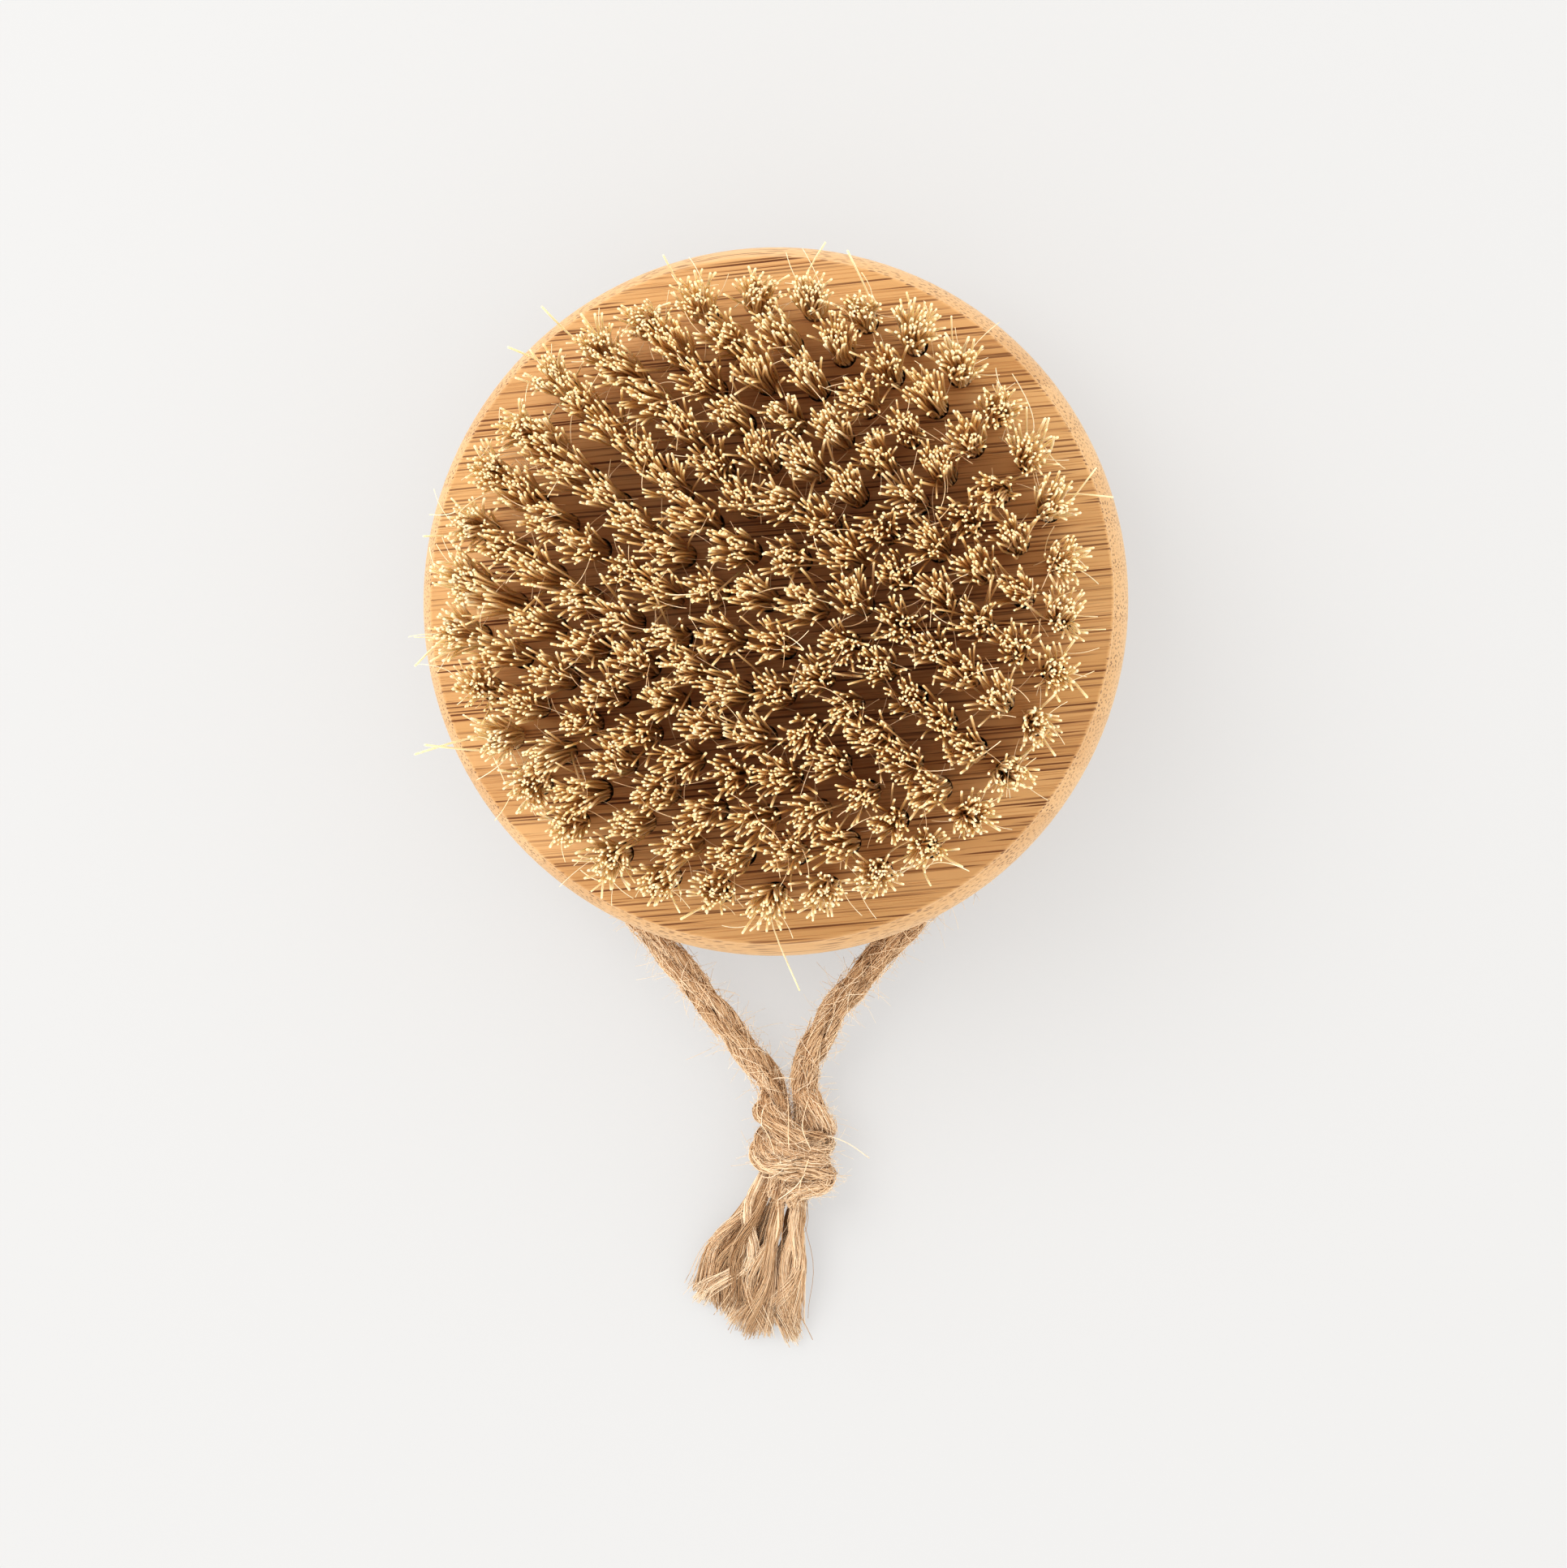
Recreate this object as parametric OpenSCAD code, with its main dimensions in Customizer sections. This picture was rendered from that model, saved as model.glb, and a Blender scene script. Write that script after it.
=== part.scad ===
// Round palm-sized dry brush for the body.
// A turned bamboo block lies on its flat back with the bristles up. Its side wall has a
// groove, and a jute rope is wrapped round the groove. The two ends of the rope leave the
// groove as tangents, meet in an overhand knot and end in frayed yarns.
// +Z runs from the flat back to the bristle tips, and the rope loop points along -Y.

/* [Block] */
// Largest diameter of the block, at the belly of its side wall
head_d = 100; // [98:1:106]
// Diameter of the flat face that the bristles stand on
face_d = 96.4; // [94:0.1:97]
// Thickness of the block from its back to the bristle face
block_h = 28; // [27:1:34]
// Height of the widest level above the back
belly_z = 22; // [20:0.5:22]
// Diameter of the back flange, below the rope groove
back_d = 94; // [93:0.5:96]

/* [Rope groove] */
// Height of the groove's middle above the back
groove_z = 9.5; // [9:0.5:10]
// Width of the groove
groove_w = 5.6; // [5.2:0.1:6]
// Diameter of the rope
rope_d = 4.2; // [3.8:0.1:4.4]
// Radius of the rope's centreline in the groove
wrap_r = 44.6; // [44.3:0.1:45]

/* [Bristles] */
// Free length of the bristles above the face
bristle_l = 24; // [15:1:28]
// Diameter of a tuft hole
hole_d = 3.4; // [3.3:0.1:3.8]
// Depth of a tuft hole
hole_depth = 9; // [8:0.5:11]
// Diameter of a tuft at its tips
tip_d = 5.2; // [4.6:0.1:5.3]

/* [Anchors] */
// Length of an anchor, across the hole
anchor_l = 3.2; // [2.8:0.1:3.2]
// Height of an anchor's flat wire
anchor_h = 1.8; // [1.4:0.1:2]
// Thickness of an anchor's flat wire
anchor_t = 0.4; // [0.3:0.1:0.6]

/* [Hidden] */

$fn = 64;

// Tuft rings from the rim inwards: radius, number of tufts and angle of the first tuft
RING_R = [41, 35.6, 30.2, 24.8, 19.1, 13.3, 7.1, 0];
RING_COUNT = [34, 30, 26, 22, 18, 14, 6, 1];
RING_PHASE = [6.8, 0.6, 7.1, -0.5, 9, 23.2, 50, 0];

// Side wall: widest at belly_z, with a tight arc above it and a flat one below
head_r = head_d / 2;
face_r = face_d / 2;
edge_r = 0.5;
wall_rise = block_h - edge_r - belly_z;
wall_bulge = head_r - face_r;
upper_r = (wall_rise * wall_rise + wall_bulge * wall_bulge) / (2 * wall_bulge);
lower_r = 40;

// Groove and flanges
back_r = back_d / 2;
back_round = 4;
lip_round = 0.8;
rope_r = rope_d / 2;
seat_gap = 0.35;
groove_floor_r = wrap_r - rope_r - seat_gap;
groove_lo = groove_z - groove_w / 2;
groove_hi = groove_z + groove_w / 2;
lip_z = groove_hi + lip_round;
lip_r = head_r - lower_r + sqrt(lower_r * lower_r - pow(belly_z - lip_z, 2));

// Anchors sit this far above the bottom of the hole, in the fold of the fibres
anchor_rise = 1.2;
pocket_l = 2 * hole_d;

// Tangent points where the rope leaves the groove, as angles from +X
leave_left = 219;
leave_right = -42.5;
// The loop swings about the line y = swing_y at the groove's height
swing_y = -52.5;
// Space left on each side of that line, so that the bent rope clears itself
swing_gap = 1.1;

// Routes of the free strands from the swing line to the knot
LEFT_ROUTE = [
    [-14.9, -52.5, 9.5], [-13.2, -54.5, 9.4], [-11.6, -56.5, 9.0], [-10.1, -58.5, 8.4],
    [-8.7, -60.5, 7.7], [-7.2, -62.5, 7.0], [-5.7, -64.5, 6.4], [-4.2, -66.5, 5.9],
    [-2.8, -68.5, 5.5], [-1.7, -70.5, 5.3], [-1.2, -72.5, 5.2], [-1.1, -74.0, 5.2]
];
RIGHT_ROUTE = [
    [12.4, -52.5, 9.5], [10.7, -54.5, 9.4], [9.1, -56.5, 9.1], [7.7, -58.5, 8.6],
    [6.4, -60.5, 8.0], [5.2, -62.5, 7.4], [4.2, -64.5, 6.8], [3.4, -66.5, 6.3],
    [2.9, -68.5, 6.0], [2.8, -70.5, 5.8], [3.2, -72.5, 5.7], [3.4, -74.0, 5.7]
];
strand_sides = 10;

// Knot: a rounded barrel that lies on the floor
knot_r = 6.5;
knot_l = 14.4;
knot_round = 4.5;
knot_x = 1.2;
knot_y = -79;

// Frayed yarns below the knot: start and end of each, three from each rope end
yarn_r = 1.2;
yarn_sides = 8;
yarn_steps = 6;
YARN_LEFT = [
    [[-2.5, -84.5, 2.6], [-12.9, -100.3, 1.4]],
    [[-2.5, -84.5, 5.3], [-10.4, -103, 1.4]],
    [[-0.05, -84.5, 2.6], [-7.7, -105, 1.4]]
];
YARN_RIGHT = [
    [[-0.05, -84.5, 5.3], [-5, -106.2, 1.4]],
    [[2.4, -84.5, 2.6], [-2.3, -106.7, 1.4]],
    [[2.4, -84.5, 5.3], [0.5, -106.5, 1.4]]
];

// ---- Helpers ----

function arc(centre, r, from, to, steps = 16) =
    [for (i = [0:steps]) let (a = from + (to - from) * i / steps)
        centre + r * [cos(a), sin(a)]];

function unit(v) = v / norm(v);

function heading(points, i) =
    unit(points[min(i + 1, len(points) - 1)] - points[max(i - 1, 0)]);

// One ring of a tube: the corners of a polygon across the heading
function tube_ring(p, along, r, sides) =
    let (side = unit(cross(along, [0, 0, 1])), up = cross(side, along))
    [for (k = [0:sides - 1]) let (a = 360 * k / sides)
        p + r * cos(a) * side + r * sin(a) * up];

// A closed tube along points, with one radius for each point
module tube(points, radii, sides) {
    last = len(points) - 1;
    corners = [for (i = [0:last]) each tube_ring(points[i], heading(points, i), radii[i], sides)];
    walls = [for (i = [0:last - 1]) for (k = [0:sides - 1])
        let (next = (k + 1) % sides)
        [i * sides + k, i * sides + next, (i + 1) * sides + next, (i + 1) * sides + k]];
    first_end = [for (k = [sides - 1:-1:0]) k];
    last_end = [for (k = [0:sides - 1]) last * sides + k];
    polyhedron(concat(corners), concat(walls, [first_end], [last_end]), convexity = 4);
}

module around_ring(ring) {
    for (j = [0:RING_COUNT[ring] - 1])
        rotate(RING_PHASE[ring] + j * 360 / RING_COUNT[ring])
            translate([RING_R[ring], 0, 0])
                children();
}

// ---- Block ----

module block_profile() {
    polygon(concat(
        [[0, 0]],
        arc([back_r - back_round, back_round], back_round, -90, 0),
        arc([back_r - lip_round, groove_lo - lip_round], lip_round, 0, 90, 6),
        arc([groove_floor_r + groove_w / 2, groove_z], groove_w / 2, 270, 90, 24),
        arc([lip_r - lip_round, lip_z], lip_round, -90, 0, 6),
        arc([head_r - lower_r, belly_z], lower_r, -asin((belly_z - lip_z - 0.2) / lower_r), -0.2, 8),
        arc([head_r - upper_r, belly_z], upper_r, 0, asin(wall_rise / upper_r), 16),
        arc([face_r - edge_r, block_h - edge_r], edge_r, 10, 90, 5),
        [[0, block_h]]
    ));
}

module bamboo_block() {
    color("burlywood")
        difference() {
            rotate_extrude() block_profile();
            for (ring = [0:len(RING_R) - 1])
                around_ring(ring)
                    translate([0, 0, block_h - hole_depth])
                        cylinder(d = hole_d, h = hole_depth + 1);
        }
}

// ---- Bristles: each tuft is folded over its anchor in the bottom of a hole ----

module anchor_wire(length) {
    translate([-length / 2, -anchor_t / 2, block_h - hole_depth + anchor_rise])
        cube([length, anchor_t, anchor_h]);
}

module tuft() {
    difference() {
        union() {
            translate([0, 0, block_h - hole_depth])
                cylinder(d = hole_d, h = hole_depth);
            translate([0, 0, block_h])
                cylinder(d1 = hole_d, d2 = tip_d, h = bristle_l);
        }
        anchor_wire(pocket_l);
    }
}

module bristle_ring(ring) {
    color("wheat") around_ring(ring) tuft();
}

module anchors_ring(ring) {
    color("silver") around_ring(ring) anchor_wire(anchor_l);
}

module bristle_ring_1() bristle_ring(0);
module bristle_ring_2() bristle_ring(1);
module bristle_ring_3() bristle_ring(2);
module bristle_ring_4() bristle_ring(3);
module bristle_ring_5() bristle_ring(4);
module bristle_ring_6() bristle_ring(5);
module bristle_ring_7() bristle_ring(6);
module centre_tuft() bristle_ring(7);

module anchors_ring_1() anchors_ring(0);
module anchors_ring_2() anchors_ring(1);
module anchors_ring_3() anchors_ring(2);
module anchors_ring_4() anchors_ring(3);
module anchors_ring_5() anchors_ring(4);
module anchors_ring_6() anchors_ring(5);
module anchors_ring_7() anchors_ring(6);
module centre_anchor() anchors_ring(7);

// ---- Rope held in the groove ----

module rope_wrap() {
    color("tan")
        rotate(leave_right)
            rotate_extrude(angle = leave_left - leave_right)
                translate([wrap_r, groove_z]) circle(r = rope_r);
}

// A straight stretch from the tangent point at angle a to a round end by the swing line.
// turn is 1 where the rope leaves anticlockwise and -1 where it leaves clockwise.
module rope_lead(a, turn) {
    run = (swing_y - wrap_r * sin(a)) / (turn * cos(a));
    color("tan")
        rotate(a)
            translate([wrap_r, 0, groove_z])
                rotate([-90 * turn, 0, 0]) {
                    cylinder(r = rope_r, h = run - swing_gap - rope_r);
                    translate([0, 0, run - swing_gap - rope_r]) sphere(r = rope_r);
                }
}

module rope_lead_left() rope_lead(leave_left, 1);
module rope_lead_right() rope_lead(leave_right, -1);

// ---- Hanging loop ----

// A strand whose first end is rounded off where it faces the lead
module rope_strand(route) {
    start = route[0];
    first = unit(route[1] - start);
    cap = [for (a = [80, 55, 30]) start + first * (swing_gap + rope_r * (1 - sin(a)))];
    cap_r = [for (a = [80, 55, 30]) rope_r * cos(a)];
    rest = [for (i = [2:len(route) - 1]) route[i]];
    color("tan")
        tube(concat(cap, rest), concat(cap_r, [for (p = rest) rope_r]), strand_sides);
}

module rope_strand_left() rope_strand(LEFT_ROUTE);
module rope_strand_right() rope_strand(RIGHT_ROUTE);

module rope_knot() {
    color("tan")
        translate([knot_x, knot_y, knot_r])
            rotate([90, 0, 0])
                rotate_extrude()
                    polygon(concat(
                        [[0, -knot_l / 2]],
                        arc([knot_r - knot_round, -knot_l / 2 + knot_round], knot_round, -90, 0, 10),
                        arc([knot_r - knot_round, knot_l / 2 - knot_round], knot_round, 0, 90, 10),
                        [[0, knot_l / 2]]
                    ));
}

// A yarn spreads at an even rate, and comes down to the floor late
function yarn_point(ends, t) =
    let (straight = ends[0] + (ends[1] - ends[0]) * t)
    [straight[0], straight[1], ends[0][2] + (ends[1][2] - ends[0][2]) * t * t];

module yarn(ends) {
    points = [for (i = [0:yarn_steps]) yarn_point(ends, i / yarn_steps)];
    color("tan") tube(points, [for (p = points) yarn_r], yarn_sides);
}

module yarn_left_1() yarn(YARN_LEFT[0]);
module yarn_left_2() yarn(YARN_LEFT[1]);
module yarn_left_3() yarn(YARN_LEFT[2]);
module yarn_right_1() yarn(YARN_RIGHT[0]);
module yarn_right_2() yarn(YARN_RIGHT[1]);
module yarn_right_3() yarn(YARN_RIGHT[2]);

bamboo_block();
bristle_ring_1();
bristle_ring_2();
bristle_ring_3();
bristle_ring_4();
bristle_ring_5();
bristle_ring_6();
bristle_ring_7();
centre_tuft();
anchors_ring_1();
anchors_ring_2();
anchors_ring_3();
anchors_ring_4();
anchors_ring_5();
anchors_ring_6();
anchors_ring_7();
centre_anchor();
rope_wrap();
rope_lead_left();
rope_lead_right();
rope_strand_left();
rope_strand_right();
rope_knot();
yarn_left_1();
yarn_left_2();
yarn_left_3();
yarn_right_1();
yarn_right_2();
yarn_right_3();
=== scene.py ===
"""Looks of the body dry brush: bamboo head, plant-fibre tufts and a knotted jute rope.

Everything is in metres in the CAD frame: +Z from the flat back to the bristle tips, rope loop towards -Y.
"""

import math

import bpy
import numpy as np
from mathutils import Matrix, Vector


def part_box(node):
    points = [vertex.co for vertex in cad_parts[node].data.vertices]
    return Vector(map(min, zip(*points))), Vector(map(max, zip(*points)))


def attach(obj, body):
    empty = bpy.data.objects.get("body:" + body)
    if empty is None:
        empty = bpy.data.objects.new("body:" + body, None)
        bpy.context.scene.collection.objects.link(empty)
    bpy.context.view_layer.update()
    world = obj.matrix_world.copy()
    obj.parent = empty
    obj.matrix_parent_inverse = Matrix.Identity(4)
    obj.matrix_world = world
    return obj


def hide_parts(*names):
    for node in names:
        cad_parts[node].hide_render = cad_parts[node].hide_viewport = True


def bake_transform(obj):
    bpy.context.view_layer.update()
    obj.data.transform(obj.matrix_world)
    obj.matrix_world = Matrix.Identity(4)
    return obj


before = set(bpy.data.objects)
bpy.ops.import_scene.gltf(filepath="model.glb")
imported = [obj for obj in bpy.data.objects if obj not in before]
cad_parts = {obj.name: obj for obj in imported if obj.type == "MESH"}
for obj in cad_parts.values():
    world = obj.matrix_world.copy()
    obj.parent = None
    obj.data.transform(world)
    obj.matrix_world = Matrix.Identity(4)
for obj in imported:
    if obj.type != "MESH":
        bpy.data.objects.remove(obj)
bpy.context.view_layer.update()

MM = 0.001

# ---- Driving sizes, read from the frame ----

WRAP_LO, WRAP_HI = (np.array(corner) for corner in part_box("rope_wrap"))
KNOT_LO, KNOT_HI = (np.array(corner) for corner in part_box("rope_knot"))

FACE_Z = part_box("bamboo_block")[1][2]
TIP_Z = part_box("centre_tuft")[1][2]
ROPE_D = WRAP_HI[2] - WRAP_LO[2]
ROPE_R = ROPE_D / 2
GROOVE_Z = (WRAP_LO[2] + WRAP_HI[2]) / 2
WRAP_R = WRAP_HI[0] - ROPE_R
KNOT_MID = (KNOT_LO + KNOT_HI) / 2

HEAD = "brush_head"
RING = "rope_ring"
LOOP = "hanging_loop"
RING_NUMBERS = range(1, 8)
BRISTLE_NODES = ["bristle_ring_%d" % i for i in RING_NUMBERS] + ["centre_tuft"]
RIM_NODE = BRISTLE_NODES[0]
ANCHOR_NODES = ["anchors_ring_%d" % i for i in RING_NUMBERS] + ["centre_anchor"]

# Angles, in degrees, at which the rope leaves the groove, and the routes of its free strands from the swing
# line to the knot, in millimetres, as in the CAD model
LEAVE_LEFT = 219
LEAVE_RIGHT = -42.5
LEFT_ROUTE = [
    (-14.9, -52.5, 9.5), (-13.2, -54.5, 9.4), (-11.6, -56.5, 9.0), (-10.1, -58.5, 8.4),
    (-8.7, -60.5, 7.7), (-7.2, -62.5, 7.0), (-5.7, -64.5, 6.4), (-4.2, -66.5, 5.9),
    (-2.8, -68.5, 5.5), (-1.7, -70.5, 5.3), (-1.2, -72.5, 5.2), (-1.1, -74.0, 5.2),
]
RIGHT_ROUTE = [
    (12.4, -52.5, 9.5), (10.7, -54.5, 9.4), (9.1, -56.5, 9.1), (7.7, -58.5, 8.6),
    (6.4, -60.5, 8.0), (5.2, -62.5, 7.4), (4.2, -64.5, 6.8), (3.4, -66.5, 6.3),
    (2.9, -68.5, 6.0), (2.8, -70.5, 5.8), (3.2, -72.5, 5.7), (3.4, -74.0, 5.7),
]
# Number of points on the straight lead from the groove to the swing line, where each free route starts
LEAD_STEPS = 6


# ---- Camera ----

CAMERA_PLACE = Vector((55 * MM, -21 * MM, 532 * MM))
CAMERA_AIM = Vector((1.5 * MM, -25.7 * MM, 22 * MM))
CAMERA_LENS_MM = 83.3
CAMERA_SENSOR_MM = 36


def make_camera():
    """Above the brush and to its right, looking down at it, as a product shot on a table."""
    camera = bpy.data.objects.new("camera", bpy.data.cameras.new("camera"))
    bpy.context.collection.objects.link(camera)
    back = (CAMERA_PLACE - CAMERA_AIM).normalized()
    right = Vector((0, 1, 0)).cross(back).normalized()
    up = back.cross(right)
    camera.matrix_world = Matrix((right, up, back)).transposed().to_4x4()
    camera.location = CAMERA_PLACE
    camera.data.sensor_width = CAMERA_SENSOR_MM
    camera.data.lens = CAMERA_LENS_MM
    camera.data.clip_start = 0.05
    camera.data.clip_end = 20
    bpy.context.scene.camera = camera


# ---- Small geometry helpers ----

def unit(v):
    """Vectors scaled to length 1."""
    return v / np.maximum(np.linalg.norm(v, axis=-1, keepdims=True), 1e-12)


CURVE_STEPS = 12


def resample(points, step):
    """Points an even step apart along a smooth curve through the given points."""
    p = np.asarray(points, float)
    before = np.vstack([2 * p[0] - p[1], p[:-1]])
    after = np.vstack([p[1:], 2 * p[-1] - p[-2]])
    slope = (after - before) / 2
    t = np.linspace(0, 1, CURVE_STEPS, endpoint=False)[:, None]
    h00 = 2 * t**3 - 3 * t**2 + 1
    h10 = t**3 - 2 * t**2 + t
    h01 = 3 * t**2 - 2 * t**3
    h11 = t**3 - t**2
    pieces = [
        h00 * p[i] + h10 * slope[i] + h01 * p[i + 1] + h11 * slope[i + 1]
        for i in range(len(p) - 1)
    ]
    dense = np.vstack([*pieces, p[-1:]])
    run = run_along(dense)
    count = max(2, int(round(run[-1] / step)) + 1)
    even = np.linspace(0, run[-1], count)
    return np.stack([np.interp(even, run, dense[:, k]) for k in range(3)], axis=1)


def resample_to(points, count):
    """The given number of points, evenly spaced along a smooth curve."""
    dense = resample(points, 0.1 * MM)
    index = np.linspace(0, len(dense) - 1, count)
    return np.stack([np.interp(index, np.arange(len(dense)), dense[:, k]) for k in range(3)], axis=1)


def run_along(path):
    """Distance from the start of a path to each of its points."""
    return np.concatenate([[0], np.cumsum(np.linalg.norm(np.diff(path, axis=0), axis=1))])


def node_points(node):
    """The vertices of a CAD node's mesh."""
    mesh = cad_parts[node].data
    co = np.empty(len(mesh.vertices) * 3)
    mesh.vertices.foreach_get("co", co)
    return co.reshape(-1, 3)


def steady_frame(path):
    """The direction along a path, and two across it that turn with it and never spin about it."""
    along = unit(np.gradient(path, axis=0))
    side = np.zeros_like(path)
    start = np.cross(along[0], (0, 0, 1))
    side[0] = unit(start if np.linalg.norm(start) > 0.1 else np.cross(along[0], (1, 0, 0)))
    for i in range(1, len(path)):
        side[i] = unit(side[i - 1] - along[i] * (side[i - 1] @ along[i]))
    return along, side, np.cross(side, along)


def tubes(name, lines, radii, sides, material, attributes=None):
    """One mesh of many thin closed tubes. lines is (tube, point, xyz) and radii is (tube, point)."""
    lines = np.asarray(lines, float)
    count, points, _ = lines.shape
    radii = np.broadcast_to(radii, (count, points))
    along = unit(np.gradient(lines, axis=1))
    general = np.abs(unit(lines[:, -1] - lines[:, 0]))
    reference = np.eye(3)[np.argmin(general, axis=1)][:, None, :]
    side = unit(np.cross(along, reference))
    up = np.cross(side, along)
    angle = np.arange(sides) * 2 * np.pi / sides
    ring = np.cos(angle)[:, None] * side[:, :, None, :] + np.sin(angle)[:, None] * up[:, :, None, :]
    verts = lines[:, :, None, :] + radii[:, :, None, None] * ring
    index = np.arange(count * points * sides).reshape(count, points, sides)
    near = index[:, :-1]
    far = index[:, 1:]
    walls = np.stack([near, far, np.roll(far, -1, 2), np.roll(near, -1, 2)], axis=-1).reshape(-1, 4)
    caps = np.vstack([index[:, 0], index[:, -1, ::-1]])
    mesh = bpy.data.meshes.new(name)
    mesh.vertices.add(verts.size // 3)
    mesh.vertices.foreach_set("co", verts.ravel())
    mesh.loops.add(walls.size + caps.size)
    mesh.loops.foreach_set("vertex_index", np.concatenate([walls.ravel(), caps.ravel()]))
    starts = np.concatenate([
        np.arange(len(walls)) * 4,
        walls.size + np.arange(len(caps)) * sides,
    ])
    mesh.polygons.add(len(starts))
    mesh.polygons.foreach_set("loop_start", starts)
    smooth = np.concatenate([np.ones(len(walls), bool), np.zeros(len(caps), bool)])
    mesh.polygons.foreach_set("use_smooth", smooth)
    mesh.update(calc_edges=True)
    for key, values in (attributes or {}).items():
        spread = np.broadcast_to(values, (count, points)).astype(np.float32)
        layer = mesh.attributes.new(key, "FLOAT", "POINT")
        layer.data.foreach_set("value", np.repeat(spread.ravel(), sides))
    mesh.materials.append(material)
    obj = bpy.data.objects.new(name, mesh)
    bpy.context.collection.objects.link(obj)
    return obj


# ---- Material helpers ----

def srgb(r, g, b):
    """A colour given as screen values of 11 to 255, as the linear values that a shader takes."""
    return tuple(((c / 255 + 0.055) / 1.055) ** 2.4 for c in (r, g, b)) + (1,)


class Nodes:
    """A short way to write a material's nodes."""

    def __init__(self, name):
        self.material = bpy.data.materials.new(name)
        self.material.use_nodes = True
        self.tree = self.material.node_tree
        self.shader = self.tree.nodes["Principled BSDF"]

    def add(self, kind, inputs=None, **settings):
        node = self.tree.nodes.new("ShaderNode" + kind)
        for key, value in settings.items():
            setattr(node, key, value)
        for key, value in (inputs or {}).items():
            self.put(node.inputs[key], value)
        return node

    def put(self, socket, value):
        if isinstance(value, bpy.types.NodeSocket):
            self.tree.links.new(value, socket)
        else:
            socket.default_value = value

    def math(self, operation, a, b=0.0, clamp=False):
        return self.add("Math", {0: a, 1: b}, operation=operation, use_clamp=clamp).outputs[0]

    def vector(self, operation, a, b):
        return self.add("VectorMath", {0: a, 1: b}, operation=operation).outputs[0]

    def ramp(self, value, *stops):
        """A straight step from one stop to the next; each stop is (position, colour)."""
        node = self.add("ValToRGB", {0: value})
        band = node.color_ramp
        while len(band.elements) < len(stops):
            band.elements.new(0.5)
        for element, (position, colour) in zip(band.elements, stops):
            element.position = position
            element.color = colour if isinstance(colour, tuple) else (colour, colour, colour, 1)
        return node.outputs[0]

    def mix(self, share, a, b):
        node = self.add("Mix", data_type="RGBA")
        self.put(node.inputs[0], share)
        self.put(node.inputs[6], a)
        self.put(node.inputs[7], b)
        return node.outputs[2]

    def turned(self, tilt=0.0, turn=0.0):
        """The piece's own coordinates in metres, turned about Y and then about Z."""
        spot = self.add("TexCoord").outputs["Object"]
        return self.add("Mapping", {0: spot, 2: (0, tilt, turn)}).outputs[0]

    def scaled(self, where, scale):
        """Coordinates in units of 1 / scale metres."""
        return self.add("Mapping", {0: where, 3: scale}).outputs[0]

    def noise(self, where, detail=3.0, rough=0.5, output=0):
        inputs = {"Vector": where, "Scale": 1.0, "Detail": detail, "Roughness": rough}
        return self.add("TexNoise", inputs).outputs[output]

    def bump(self, height, distance, strength):
        inputs = {"Height": height, "Distance": distance, "Strength": strength}
        self.put(self.shader.inputs["Normal"], self.add("Bump", inputs).outputs[0])

    def surface(self, colour, roughness, **sockets):
        self.put(self.shader.inputs["Base Color"], colour)
        self.put(self.shader.inputs["Roughness"], roughness)
        for key, value in sockets.items():
            self.put(self.shader.inputs[key.replace("_", " ")], value)
        return self.material


# ---- Materials ----

# The grain runs along X, turned a little in the face and dipping a little into it
GRAIN_TURN = math.radians(-5)
GRAIN_TILT = math.radians(0.8)
GRAIN_WANDER = 2.2 * MM
STRIPS_PER_METRE = 150
# Thick bundles and thin threads: how many per metre, and how far the dark middle and the edge of each reach,
# as shares of their spacing
BUNDLES_PER_METRE = 1700
BUNDLE_REACH = (0.19, 0.27)
THREADS_PER_METRE = 3400
THREAD_REACH = (0.14, 0.36)
GRAIN_DEPTH = 0.08 * MM


def grain_space(n):
    """Position in the wood, with X along the bundles, which wander slowly along their length."""
    spot = n.turned(GRAIN_TILT, GRAIN_TURN)
    drift = n.noise(n.scaled(spot, (9, 40, 40)), detail=1.0, output=1)
    drift = n.vector("ADD", drift, (-0.5, -0.5, -0.5))
    drift = n.vector("MULTIPLY", drift, (0, GRAIN_WANDER, GRAIN_WANDER))
    return n.vector("ADD", spot, drift)


def bundles(n, section, per_metre, inner, outer):
    """1 in the middle of each fibre bundle, 0 between them; section is the place across the grain."""
    cells = n.add(
        "TexVoronoi", {"Vector": section, "Scale": per_metre, "Randomness": 0.95},
        voronoi_dimensions="2D",
    )
    return n.ramp(cells.outputs[0], (inner, 1.0), (outer, 0.0))


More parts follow.
